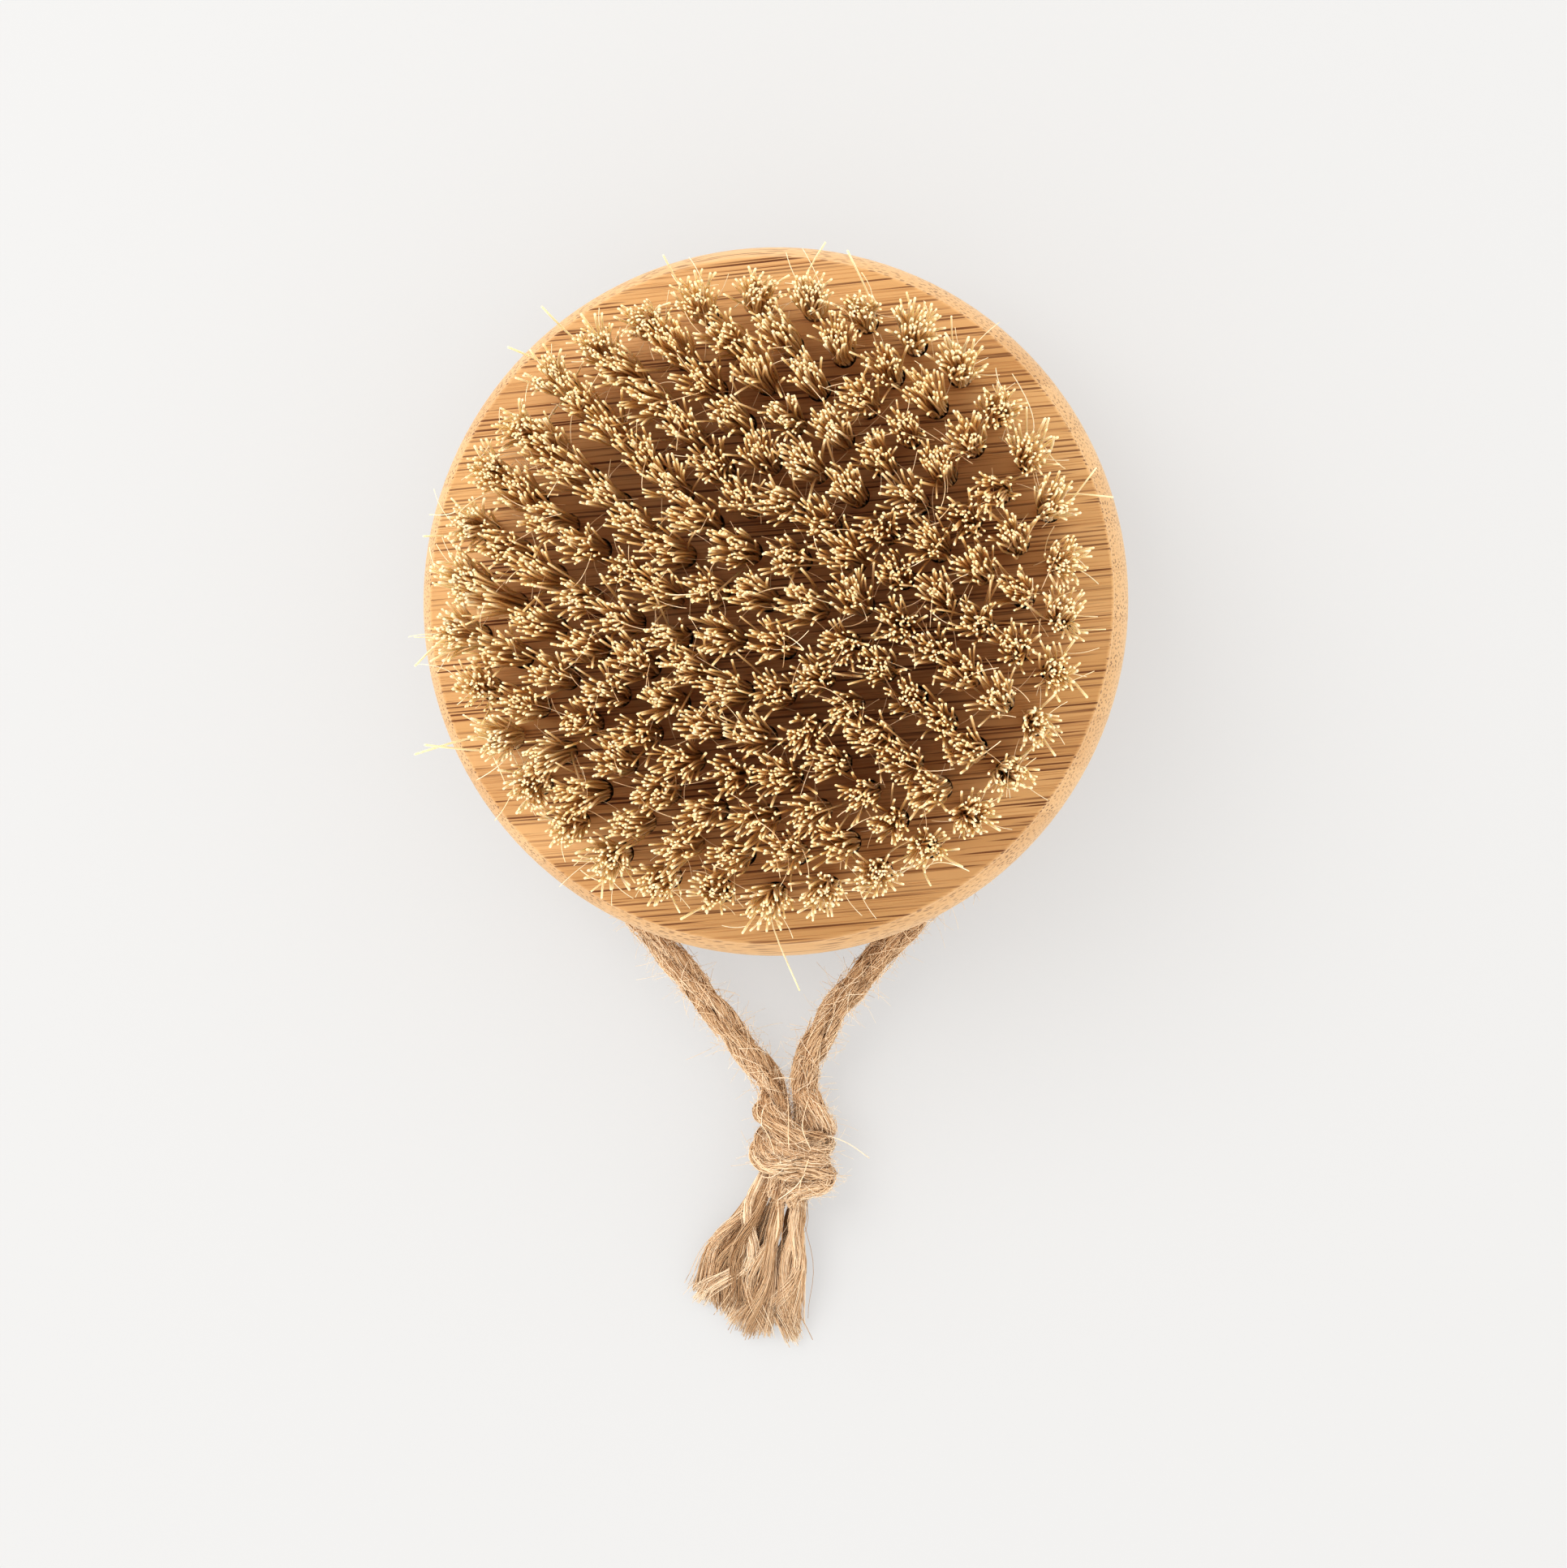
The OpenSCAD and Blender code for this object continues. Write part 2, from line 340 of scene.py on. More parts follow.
def bamboo_material():
    """Glued bamboo strips. Fibre bundles run along each strip: lines on the face, dots on the wall."""
    n = Nodes("bamboo")
    spot = grain_space(n)
    split = n.add("SeparateXYZ", {0: spot})
    y, z = split.outputs[1], split.outputs[2]
    # Each glued strip has its own tone and its own bundles
    strip_y = n.math("MULTIPLY", n.math("ADD", y, 0.5), STRIPS_PER_METRE)
    across = n.math("FRACT", strip_y)
    strip_tone = n.add("TexWhiteNoise", {"W": n.math("FLOOR", strip_y)}, noise_dimensions="1D").outputs[0]
    section = n.add("CombineXYZ", {0: y, 1: n.math("ADD", z, strip_tone)}).outputs[0]
    thick = bundles(n, section, BUNDLES_PER_METRE, *BUNDLE_REACH)
    thin = bundles(n, section, THREADS_PER_METRE, *THREAD_REACH)
    # Bundles are crowded and dark near the outer side of each strip, and break up along the grain
    crowded = n.ramp(across, (0.0, 1.0), (0.85, 0.6), (1.0, 1.0))
    broken = n.noise(n.scaled(spot, (28, 500, 500)), detail=2.0)
    broken = n.ramp(broken, (0.34, 0.3), (0.52, 1.0))
    dark_lines = n.math("MULTIPLY", n.math("MULTIPLY", thick, crowded), broken)
    wood = n.ramp(
        strip_tone, (0.0, srgb(193, 151, 101)), (0.5, srgb(203, 163, 113)), (1.0, srgb(213, 176, 127)),
    )
    cloud = n.noise(n.scaled(spot, (12, 130, 130)))
    wood = n.mix(n.ramp(cloud, (0.38, 0.0), (0.70, 0.45)), wood, srgb(219, 183, 140))
    wood = n.mix(n.math("MULTIPLY", thin, 0.45), wood, srgb(172, 121, 70))
    wood = n.mix(dark_lines, wood, srgb(108, 60, 26))
    seam = n.ramp(across, (0.0, 0.5), (0.03, 0.0), (0.97, 0.0), (1.0, 0.5))
    wood = n.mix(seam, wood, srgb(175, 129, 80))
    # The turned wall is painted paler than the face: partly painted light, standing in for the bright floor's
    # light on it, and partly the wall's own paler colour
    normal_z = n.add("SeparateXYZ", {0: n.add("NewGeometry").outputs["Normal"]}).outputs[2]
    wall = n.math("SUBTRACT", 1.0, n.math("ABSOLUTE", normal_z), clamp=True)
    wood = n.mix(n.math("MULTIPLY", wall, 0.55), wood, srgb(247, 220, 184))
    grain = n.math("ADD", n.math("MULTIPLY", thin, 0.4), dark_lines)
    n.bump(n.math("SUBTRACT", 1.0, grain), GRAIN_DEPTH, 0.5)
    return n.surface(wood, n.ramp(dark_lines, (0.0, 0.46), (1.0, 0.62)), Specular_IOR_Level=0.35)


def bristle_material():
    """Stiff cream plant fibre that lets some light through; each fibre has its own tone."""
    n = Nodes("bristle_fibre")
    tone = n.add("Attribute", attribute_name="tone").outputs["Fac"]
    along = n.add("Attribute", attribute_name="along").outputs["Fac"]
    body = n.ramp(tone, (0.0, srgb(241, 216, 169)), (0.5, srgb(248, 230, 193)), (1.0, srgb(252, 239, 212)))
    streak = n.noise(n.scaled(n.turned(), (2500, 2500, 160)), detail=2.0)
    body = n.mix(n.ramp(streak, (0.45, 0.0), (0.75, 0.14)), body, srgb(218, 185, 126))
    # Painted shade: the top of each fibre is painted darker, to offset the light that its upturned cut end
    # catches
    body = n.mix(n.ramp(along, (0.88, 0.0), (1.0, 0.4)), body, srgb(228, 201, 158))
    n.bump(streak, 0.02 * MM, 0.3)
    return n.surface(
        body, 0.5, Specular_IOR_Level=0.3,
        Subsurface_Weight=0.4, Subsurface_Radius=(1.0, 0.75, 0.45), Subsurface_Scale=0.6 * MM,
    )


def jute_material(name, dark, mid, pale):
    """Hairy jute: each fibre has its own tone, with darker flecks along it."""
    n = Nodes(name)
    tone = n.add("Attribute", attribute_name="tone").outputs["Fac"]
    body = n.ramp(tone, (0.0, srgb(*dark)), (0.5, srgb(*mid)), (1.0, srgb(*pale)))
    fleck = n.noise(n.scaled(n.turned(), (700, 700, 700)))
    body = n.mix(n.ramp(fleck, (0.55, 0.0), (0.8, 0.35)), body, srgb(*dark))
    speck = n.noise(n.scaled(n.turned(), (420, 420, 420)), detail=4.0, rough=0.6)
    body = n.mix(n.ramp(speck, (0.60, 0.0), (0.70, 0.55)), body, srgb(116, 80, 52))
    n.bump(fleck, 0.04 * MM, 0.4)
    return n.surface(body, 0.75, Specular_IOR_Level=0.15, Sheen_Weight=0.1, Sheen_Roughness=0.5)


def wire_material():
    """Drawn flat steel wire of the anchors."""
    n = Nodes("anchor_wire")
    drawn = n.noise(n.scaled(n.turned(), (200, 4000, 4000)), detail=2.0)
    n.bump(drawn, 0.01 * MM, 0.3)
    roughness = n.ramp(drawn, (0.3, 0.28), (0.7, 0.42))
    return n.surface(srgb(186, 184, 180), roughness, Metallic=1.0)


# ---- Bristles ----

def tuft_places(node):
    """The middle of each tuft in a CAD node, from the separate solids of its mesh."""
    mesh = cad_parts[node].data
    co = node_points(node)
    ends = np.empty(len(mesh.edges) * 2, int)
    mesh.edges.foreach_get("vertices", ends)
    ends = ends.reshape(-1, 2)
    # Vertices at one point belong together too, as the mesh may be split along sharp edges
    same_point = 0.01 * MM
    _, label = np.unique(np.round(co / same_point).astype(np.int64), axis=0, return_inverse=True)
    label = label.ravel()
    while True:
        low = np.minimum(label[ends[:, 0]], label[ends[:, 1]])
        fresh = label.copy()
        np.minimum.at(fresh, ends[:, 0], low)
        np.minimum.at(fresh, ends[:, 1], low)
        best = np.full(label.max() + 1, label.max())
        np.minimum.at(best, label, fresh)
        fresh = best[label]
        if (fresh == label).all():
            break
        label = fresh
    places = []
    for one in np.unique(label):
        solid = co[label == one]
        places.append((solid.min(axis=0) + solid.max(axis=0))[:2] / 2)
    return np.array(places)


BRISTLE_SEED = 100
FIBRES_PER_TUFT = 56
# Fibres more or fewer from tuft to tuft
FIBRE_COUNT_SPAN = 6
RIM_EXTRA_FIBRES = 18
HAIRS_PER_TUFT = 5
RIM_HAIRS_PER_TUFT = 6
GOLDEN_ANGLE = 2.39996
# Radius of the fibres at the hole, and of the fan at their tips
PACKED_R = 1.5 * MM
RIM_SPREAD = 4.0 * MM
INNER_SPREAD = 3.4 * MM
# The rim tufts get a paler tone, painted light for the extra light they catch from the sides, and lean a
# little to the right. Their fans are narrower across the rim than along it
RIM_LIT_TONE = 0.8
INNER_TONE = 0.5
RIM_LEAN = np.array([1.4, -0.4]) * MM
RIM_ACROSS = 0.8
# Neighbouring fibres stick together in bunches: how many, over what share of the fan, and how strongly
BUNCHES = 13
BUNCH_SPREAD = 0.62
BUNCH_PULL = 0.33
# A few fibres stand apart from the rest
WILD_SHARE = 0.07
WILD_REACH = 2.2 * MM
# How unevenly the tufts sit and lean, and their fibres end and bow
SEAT_JITTER = 0.1 * MM
TOP_JITTER = 0.5 * MM
TIP_JITTER = 0.25 * MM
TIP_DROP = 0.55 * MM
BOW = 0.3 * MM
# A fibre that leans out ends lower, by the square of its lean over this length
FALL_LENGTH = 14 * MM
FIBRE_R = 0.19 * MM
FIBRE_TAPER = 0.1
HAIR_R_MM = (0.04, 0.075)
HAIR_REACH = (2.5 * MM, 6 * MM)
ROOT_DEPTH = 4 * MM
FIBRE_POINTS = 9
FIBRE_SIDES = 6
# A ring with more triangles than this is split into several pieces
MOST_TRIANGLES = 190000
TRIANGLES_PER_FIBRE = 2 * FIBRE_SIDES * (FIBRE_POINTS - 1) + 2 * (FIBRE_SIDES - 2)
# Height along a fibre, from its root to its tip, and how far along it is past the mouth of the hole
FIBRE_T = np.linspace(0, 1, FIBRE_POINTS)
MOUTH = ROOT_DEPTH / (TIP_Z - FACE_Z + ROOT_DEPTH)
FREE_T = np.clip((FIBRE_T - MOUTH) / (1 - MOUTH), 0, 1)


def stand_fibres(root, tip, tip_z, curve, bow):
    """Fibres that rise straight out of the hole and bend over to their tips."""
    ease = FREE_T[None, :] ** curve[:, None]
    flat = root[:, None] + (tip - root)[:, None] * ease[:, :, None]
    flat = flat + bow[:, None] * np.sin(np.pi * FREE_T)[None, :, None]
    foot_z = FACE_Z - ROOT_DEPTH
    z = foot_z + (tip_z - foot_z)[:, None] * FIBRE_T
    return np.concatenate([flat, z[:, :, None]], axis=2)


def tuft_fibres(rng, place, spread, lean, rim):
    """Centrelines and radii of one tuft's fibres, packed in the hole and fanned out at the tips."""
    count = FIBRES_PER_TUFT + rng.integers(-FIBRE_COUNT_SPAN, FIBRE_COUNT_SPAN + 1)
    count += RIM_EXTRA_FIBRES if rim else 0
    order = (np.arange(count) + 0.5) / count
    turn = np.arange(count) * GOLDEN_ANGLE + rng.uniform(0, 2 * np.pi)
    direction = np.stack([np.cos(turn), np.sin(turn)], axis=1)
    seat = place + rng.normal(0, SEAT_JITTER, 2)
    root = seat + direction * np.sqrt(order)[:, None] * PACKED_R
    top = place + lean + rng.normal(0, TOP_JITTER, 2)
    reach = spread * rng.uniform(0.85, 1.12) * order**0.75 * rng.uniform(0.7, 1.2, count)
    tip = top + direction * reach[:, None]
    bunches = top + rng.normal(0, BUNCH_SPREAD * spread, (BUNCHES, 2))
    nearest = np.argmin(np.linalg.norm(tip[:, None] - bunches[None], axis=2), axis=1)
    tip += BUNCH_PULL * (bunches[nearest] - tip) + rng.normal(0, TIP_JITTER, (count, 2))
    wild = rng.random(count) < WILD_SHARE
    tip += wild[:, None] * rng.normal(0, WILD_REACH, (count, 2))
    if rim:
        outward = unit(place)
        tip -= (1 - RIM_ACROSS) * ((tip - top) @ outward)[:, None] * outward
    fall = np.linalg.norm(tip - root, axis=1) ** 2 / FALL_LENGTH
    tip_z = TIP_Z - fall - np.abs(rng.normal(0, TIP_DROP, count))
    curve = rng.uniform(1.0, 2.1, count)
    bow = rng.normal(0, BOW, (count, 2))
    radius = FIBRE_R * rng.uniform(0.75, 1.15, count)
    return stand_fibres(root, tip, tip_z, curve, bow), radius[:, None] * (1 - FIBRE_TAPER * FIBRE_T)


def tuft_hairs(rng, lines, count):
    """Thin curly hairs that leave the upper half of a tuft and wander over its neighbours."""
    half_way = FIBRE_POINTS // 2
    start = lines[rng.integers(0, len(lines), count), rng.integers(half_way, FIBRE_POINTS - 1, count)]
    heading = unit(rng.normal(0, 1, (count, 3)) * (1, 1, 0.35) + (0, 0, 0.2))
    curl = rng.normal(0, 1, (count, 3)) * (1, 1, 0.6)
    curl -= heading * (curl * heading).sum(axis=1, keepdims=True)
    reach = rng.uniform(*HAIR_REACH, count)
    t = FIBRE_T[None, :, None]
    hairs = start[:, None] + reach[:, None, None] * (heading[:, None] * t + 0.45 * curl[:, None] * t**2)
    hairs[:, :, 2] = np.clip(hairs[:, :, 2], FACE_Z + 4 * MM, TIP_Z + 1 * MM)
    radius = rng.uniform(*HAIR_R_MM, (count, 1)) * MM
    return hairs, np.broadcast_to(radius, (count, FIBRE_POINTS))


# Single long fibres that bend out over the rim: the tip of each and its radius, in millimetres
RIM_STRAYS = [
    ((-47.0, -21.5, 43.5), 0.16), ((-45.2, -20.2, 45.5), 0.17), ((5.2, -54.0, 36.0), 0.12),
    ((10.0, 46.8, 49.5), 0.13), ((13.0, 45.6, 50.0), 0.14), ((48.2, 12.7, 47.5), 0.13),
    ((46.0, 16.5, 48.5), 0.12), ((-28.4, 38.8, 49.0), 0.15), ((-33.0, 33.4, 49.0), 0.15),
    ((26.8, 36.8, 49.0), 0.14), ((47.2, -4.8, 46.0), 0.10), ((-22.0, -40.0, 47.0), 0.14),
    ((24.0, -39.0, 48.0), 0.14), ((-44.6, 8.0, 49.0), 0.15), ((-46.0, -9.5, 48.0), 0.14),
]
# The tuft of the second ring, at the far left, that is bent over its neighbour
BENT_NODE = "bristle_ring_2"
BENT_DIRECTION = np.array([-1.0, 0.0])
BENT_LEAN = np.array([-2.4, 0.9]) * MM


def rim_strays(places):
    """The single long fibres past the rim, each from the tuft nearest to its tip."""
    tips = np.array([tip for tip, _ in RIM_STRAYS]) * MM
    count = len(tips)
    roots = np.array([places[np.argmin(np.linalg.norm(places - tip[:2], axis=1))] for tip in tips])
    # They start from the outer side of the tuft
    outward = unit(roots) * 1.2 * MM
    # They bow to one side and the other by turns
    by_turns = np.where(np.arange(count) % 2, 1, -1)
    bow = np.stack([-outward[:, 1], outward[:, 0]], axis=1) * by_turns[:, None]
    curve = np.full(count, 2.2)
    lines = stand_fibres(roots + outward, tips[:, :2], tips[:, 2], curve, bow)
    radius = np.array([radius for _, radius in RIM_STRAYS]) * MM
    return lines, np.broadcast_to(radius[:, None], (count, FIBRE_POINTS))


def fibre_pieces(name, lines, radii, tones, material):
    """A ring's fibres as one piece, or as several where one would have too many triangles."""
    count = math.ceil(len(lines) * TRIANGLES_PER_FIBRE / MOST_TRIANGLES)
    pieces = []
    for part in np.array_split(np.arange(len(lines)), count):
        pieces.append(tubes(
            name if not pieces else "%s_part_%d" % (name, len(pieces) + 1),
            lines[part], radii[part], FIBRE_SIDES, material,
            {"tone": np.clip(tones[part], 0, 1)[:, None], "along": FIBRE_T},
        ))
    return pieces


def tuft_lean(node, place):
    """How far a tuft's fan is shifted from its hole."""
    if node == BENT_NODE and unit(place) @ BENT_DIRECTION > 0.995:
        return BENT_LEAN
    return RIM_LEAN if node == RIM_NODE else np.zeros(2)


def make_bristles(material):
    """Every tuft's fibres and hairs, ring by ring, in place of the CAD's tufts."""
    for number, node in enumerate(BRISTLE_NODES):
        rng = np.random.default_rng(BRISTLE_SEED + number)
        places = tuft_places(node)
        rim = node == RIM_NODE
        spread = RIM_SPREAD if rim else INNER_SPREAD
        # The rim fibres are painted paler, as painted light
        tone = RIM_LIT_TONE if rim else INNER_TONE
        hair_count = RIM_HAIRS_PER_TUFT if rim else HAIRS_PER_TUFT
        lines, radii, tones = [], [], []
        for place in places:
            fibres, thick = tuft_fibres(rng, place, spread, tuft_lean(node, place), rim)
            hairs, thin = tuft_hairs(rng, fibres, hair_count)
            lines += [fibres, hairs]
            radii += [thick, thin]
            tones.append(rng.normal(tone, 0.2, len(fibres)) + rng.normal(0, 0.08))
            tones.append(rng.uniform(0.7, 1.0, len(hairs)))
        if rim:
            fibres, thick = rim_strays(places)
            lines.append(fibres)
            radii.append(thick)
            # The strays take the rim's paler tone, painted light too
            tones.append(np.full(len(fibres), RIM_LIT_TONE))
        pieces = fibre_pieces(
            "fibres_" + node, np.concatenate(lines), np.concatenate(radii), np.concatenate(tones), material,
        )
        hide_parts(node)
        for piece in pieces:
            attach(piece, HEAD)


# ---- Rope ----

PLIES = 3
FIBRES_PER_PLY = 72
# Length of the rope in which its plies, and the fibres of a ply, go round
LAY = 28 * MM
FIBRE_TURNS_PER_LAY = 1.2
ROPE_STEP = 1.1 * MM
# Shares of the rope's radius: how far out a ply's middle lies, the radius of a ply and that of its solid core
PLY_OUT = 0.5
PLY_R = 0.46
CORE_R = 0.41
CORE_TONE = 0.35
# A ply swells and shrinks by this share, over this length
SWELL = 0.10
SWELL_LENGTH = 9 * MM
# How far a fibre strays round its ply at each step, in radians, and in and out of it, as a share
WANDER_STEP = 0.20
DEPTH_STEP = 0.05
DEPTH_RANGE = (0.78, 1.12)
ROPE_FIBRE_R_MM = (0.035, 0.085)


def rope_fibres(
    rng, path, radius, lay=LAY, per_ply=FIBRES_PER_PLY, start_turn=0.0, fibre_r_mm=ROPE_FIBRE_R_MM,
):
    """Fibres of a loosely laid rope along a path: (lines, radii, tones)."""
    _, side, up = steady_frame(path)
    run = run_along(path)
    points = len(path)
    lines, radii, tones = [], [], []
    for ply in range(PLIES):
        turn = start_turn + 2 * np.pi * (run / lay + ply / PLIES)
        swell = 1 + SWELL * np.sin(2 * np.pi * run / SWELL_LENGTH + rng.uniform(0, 6.3))
        middle = path + PLY_OUT * radius * (
            np.cos(turn)[:, None] * side + np.sin(turn)[:, None] * up
        )
        ply_tone = rng.normal(0, 0.06)
        for k in range(per_ply):
            wander = np.cumsum(rng.normal(0, WANDER_STEP, points))
            spin = 2 * np.pi * k / per_ply - FIBRE_TURNS_PER_LAY * 2 * np.pi * run / lay + wander
            depth = np.clip(1 + np.cumsum(rng.normal(0, DEPTH_STEP, points)), *DEPTH_RANGE)
            off = PLY_R * radius * swell * depth
            lines.append(middle + off[:, None] * (
                np.cos(spin)[:, None] * side + np.sin(spin)[:, None] * up
            ))
            radii.append(np.full(points, rng.uniform(*fibre_r_mm) * MM))
            tones.append(np.clip(rng.normal(0.5, 0.22) + ply_tone, 0, 1))
        lines.append(middle)
        radii.append(CORE_R * radius * swell)
        tones.append(CORE_TONE)
    return np.array(lines), np.array(radii), np.array(tones)


JUTE_SIDES = 4
HAIR_POINTS = 9
STRAY_LENGTH = (1.5 * MM, 5 * MM)
STRAY_R_MM = (0.025, 0.055)
FUZZ_R_MM = (0.012, 0.024)
STRAND_SEEDS = {"left": 21, "right": 22}
STRAND_STRAYS = 190
STRAND_FUZZ = 1100
STRAND_FUZZ_REACH = 3.2 * MM
WRAP_SEED = 31
WRAP_POINTS = 150
WRAP_FIBRES_PER_PLY = 38
WRAP_FIBRE_R_MM = (0.06, 0.13)


def rope_piece(name, rng, path, radius, material, **options):
    """One piece of rope; the options are those of rope_fibres."""
    lines, radii, tones = rope_fibres(rng, path, radius, **options)
    return tubes(name, lines, radii, JUTE_SIDES, material, {"tone": tones[:, None]})


def stray_wraps(rng, path, radius, count):
    """Loose fibres that lie across the rope, bent round its surface."""
    _, side, up = steady_frame(path)
    step = run_along(path)[-1] / (len(path) - 1)
    index = np.arange(len(path))
    t = np.linspace(0, 1, HAIR_POINTS)
    # The ends of a stray fibre lift off the rope
    lift = radius * (1.0 + 0.12 * np.abs(2 * t - 1) ** 3) + 0.05 * MM
    lines = []
    for _ in range(count):
        length = rng.uniform(*STRAY_LENGTH)
        start = rng.uniform(1, max(1.5, len(path) - 2 - length / step))
        spot = start + t * length / step
        first = rng.uniform(0, 2 * np.pi)
        way_round = rng.choice([-1, 1])
        angle = first + way_round * (rng.uniform(0.3, 1.8) * t + rng.normal(0, 0.5) * np.sin(np.pi * t))
        centre, across, over = (
            np.stack([np.interp(spot, index, part[:, k]) for k in range(3)], axis=1)
            for part in (path, side, up)
        )
        lines.append(centre + lift[:, None] * (
            np.cos(angle)[:, None] * across + np.sin(angle)[:, None] * over
        ))
    return np.array(lines), rng.uniform(*STRAY_R_MM, (count, 1)) * MM


def fuzz_lines(rng, path, radius, count, reach):
    """Short stray hairs that leave the rope's surface and curl; reach is the longest."""
    along, side, up = steady_frame(path)
    spot = rng.integers(1, len(path) - 1, count)
    angle = rng.uniform(0, 2 * np.pi, count)
    outward = np.cos(angle)[:, None] * side[spot] + np.sin(angle)[:, None] * up[spot]
    heading = unit(
        along[spot] * rng.choice([-1, 1], count)[:, None] * rng.uniform(0.2, 1.0, (count, 1))
        + outward * rng.uniform(0.3, 1.0, (count, 1))
        + rng.normal(0, 0.25, (count, 3))
    )
    curl = rng.normal(0, 1, (count, 3))
    curl -= heading * (curl * heading).sum(axis=1, keepdims=True)
    reach = reach * rng.uniform(0.25, 1.0, count) ** 1.5
    t = np.linspace(0, 1, HAIR_POINTS)[None, :, None]
    start = path[spot] + outward * radius * 0.85
    lines = start[:, None] + reach[:, None, None] * (
        heading[:, None] * t + 0.6 * curl[:, None] * t**2
    )
    # Hairs stay above the table
    lines[:, :, 2] = np.maximum(lines[:, :, 2], 0.1 * MM)
    return lines, rng.uniform(*FUZZ_R_MM, (count, 1)) * MM


def hair_piece(name, rng, made, material):
    """One piece from several (lines, radii) sets of pale hairs."""
    lines = np.concatenate([lines for lines, _ in made])
    radii = np.concatenate([radii for _, radii in made])
    tone = rng.uniform(0.45, 1.0, (len(lines), 1))
    return tubes(name, lines, radii, JUTE_SIDES, material, {"tone": tone})


def strand_route(angle, route):
    """From the tangent point in the groove, straight to the swing line, then along the free route."""
    a = math.radians(angle)
    leave = np.array([WRAP_R * math.cos(a), WRAP_R * math.sin(a), GROOVE_Z])
    route = np.array(route) * MM
    lead = leave + (route[0] - leave) * np.linspace(0, 1, LEAD_STEPS + 1)[:-1, None]
    return np.vstack([lead, route])


def make_strands(material, hair_material):
    """The two strands, from the groove to the knot: {name: (strand, hairs, path)}."""
    pieces = {}
    for name, angle, route in (("left", LEAVE_LEFT, LEFT_ROUTE), ("right", LEAVE_RIGHT, RIGHT_ROUTE)):
        rng = np.random.default_rng(STRAND_SEEDS[name])
        path = resample(strand_route(angle, route), ROPE_STEP)
        strand = rope_piece("strand_" + name, rng, path, ROPE_R, material)
        made = [
            stray_wraps(rng, path, ROPE_R, STRAND_STRAYS),
            fuzz_lines(rng, path, ROPE_R, STRAND_FUZZ, STRAND_FUZZ_REACH),
        ]
        hairs = hair_piece("strand_hairs_" + name, rng, made, hair_material)
        for piece in (strand, hairs):
            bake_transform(piece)
        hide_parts("rope_lead_" + name, "rope_strand_" + name)
        pieces[name] = (strand, hairs, path)
    return pieces


def make_wrap(material):
    """The rope in the groove, with fewer and thicker fibres, as little of it shows."""
    rng = np.random.default_rng(WRAP_SEED)
    angle = np.radians(np.linspace(LEAVE_RIGHT, LEAVE_LEFT, WRAP_POINTS))
    path = np.stack([WRAP_R * np.cos(angle), WRAP_R * np.sin(angle), np.full(WRAP_POINTS, GROOVE_Z)], axis=1)
    wrap = rope_piece(
        "rope_in_groove", rng, path, ROPE_R, material,
        per_ply=WRAP_FIBRES_PER_PLY, fibre_r_mm=WRAP_FIBRE_R_MM,
    )
    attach(wrap, RING)
    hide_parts("rope_wrap")


# ---- Knot and tassel ----

# The two cores of the knot and the turns seen round them, in millimetres about the knot's middle
KNOT_CORES = [
    [(-2.3, 7.0, -1.2), (-1.7, 4.0, 0.2), (-0.9, 0, 0.6), (-1.4, -3.5, -0.2), (-2.2, -7.0, -1.2)],
    [(2.2, 7.0, -0.8), (1.8, 4.0, 0.2), (1.2, 0, 0.4), (1.2, -3.5, -0.2), (1.4, -7.0, -0.8)],
]
KNOT_TURNS = [
    [(-2.2, 6.8, -3.2), (-3.8, 6.4, -0.8), (-3.7, 5.3, 1.4), (-2.2, 3.9, 2.9), (-0.2, 2.5, 3.4),
     (1.8, 1.5, 3.3), (3.6, 1.1, 2.2), (4.4, 0.9, -0.4), (3.2, 1.2, -3.0), (0.4, 1.8, -4.0)],
    [(1.8, 8.0, -0.6), (2.7, 6.6, 0.6), (3.6, 5.4, 1.4), (4.3, 4.0, 1.0), (4.4, 2.8, -0.8),
     (3.0, 2.2, -3.0), (0.6, 2.0, -3.8)],
    [(-3.6, 1.2, 0.2), (-2.4, 0.5, 2.2), (-0.7, 0.0, 3.2), (1.0, -0.5, 3.3), (2.8, -0.8, 2.6),
     (4.4, -0.9, 0.8), (4.0, -0.9, -2.0)],
    [(-0.6, 2.2, -4.0), (-3.2, 1.8, -2.9), (-4.4, 0.8, -0.9), (-4.3, -0.9, 1.0), (-2.9, -2.1, 2.6),
     (-0.6, -2.4, 3.5), (1.8, -2.2, 3.6), (3.8, -2.6, 2.6), (4.7, -3.1, 0.4), (3.6, -3.4, -2.4),
     (0.6, -3.2, -3.8)],
    [(3.6, -3.4, -1.8), (4.8, -4.0, 0.4), (4.3, -4.9, 2.0), (2.8, -5.2, 2.8), (1.2, -5.5, 2.6),
     (0.2, -6.4, 1.4), (0.0, -7.6, 0.0)],
]
KNOT_TURN_R = [1.85, 1.9, 1.15, 1.9, 1.5]
KNOT_CORE_R = 0.9 * ROPE_R
KNOT_SEED = 41
KNOT_STEP = 0.7 * MM
KNOT_LAY = 30 * MM
STRAYS_PER_TURN = 45
FUZZ_PER_TURN = 230
KNOT_FUZZ_REACH = 2.6 * MM
